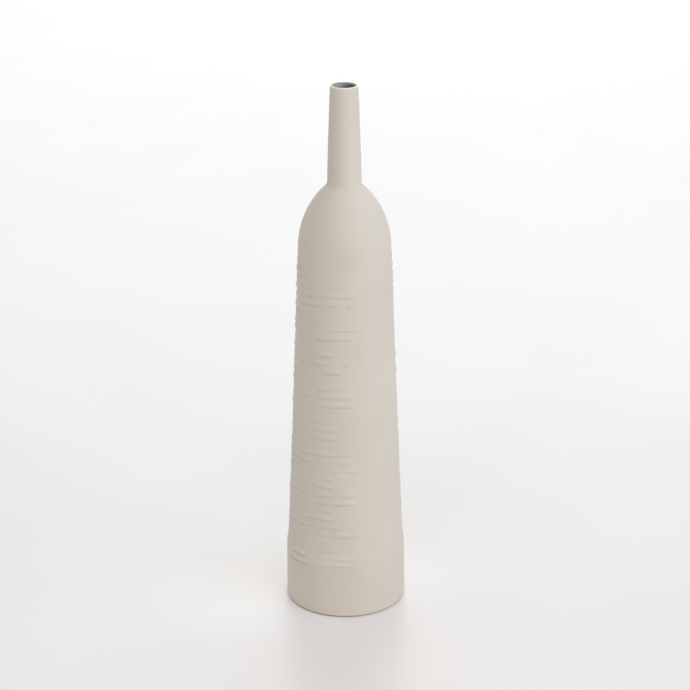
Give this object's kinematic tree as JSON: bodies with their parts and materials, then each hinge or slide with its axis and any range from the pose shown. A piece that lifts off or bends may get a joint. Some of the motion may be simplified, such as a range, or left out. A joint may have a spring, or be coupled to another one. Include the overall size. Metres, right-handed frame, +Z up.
{
  "type": "ceramic bud vase",
  "caption": "Tall tapering stoneware bottle vase with a ribbed matte wall, a domed shoulder and a narrow neck for a single stem.",
  "frame": {"origin": "centre of the foot ring's resting face", "axes": "+Z up the vase's axis to the mouth; the vase is a body of revolution, so +X and -Y are free choices and -Y is called the front"},
  "size_m": [0.0952, 0.0952, 0.42],
  "materials": {
    "matte_glaze": "dry matte glaze, warm greige, very fine mottle",
    "bare_clay": "unglazed stoneware, turned",
    "fired_slip": "unglazed, smoothed by hand",
    "liner_glaze": "satin grey-brown liner glaze, darker than the outside"
  },
  "bodies": {
    "root": {"base_disc": "bare_clay", "base_coil": "fired_slip", "foot_band": "matte_glaze", "foot_slip_joint": "fired_slip", "body_wall": "matte_glaze", "shoulder_slip_joint": "fired_slip", "shoulder": "matte_glaze", "neck_slip_joint": "fired_slip", "neck": "matte_glaze", "liner_glaze": "liner_glaze"}
  },
  "joints": []
}
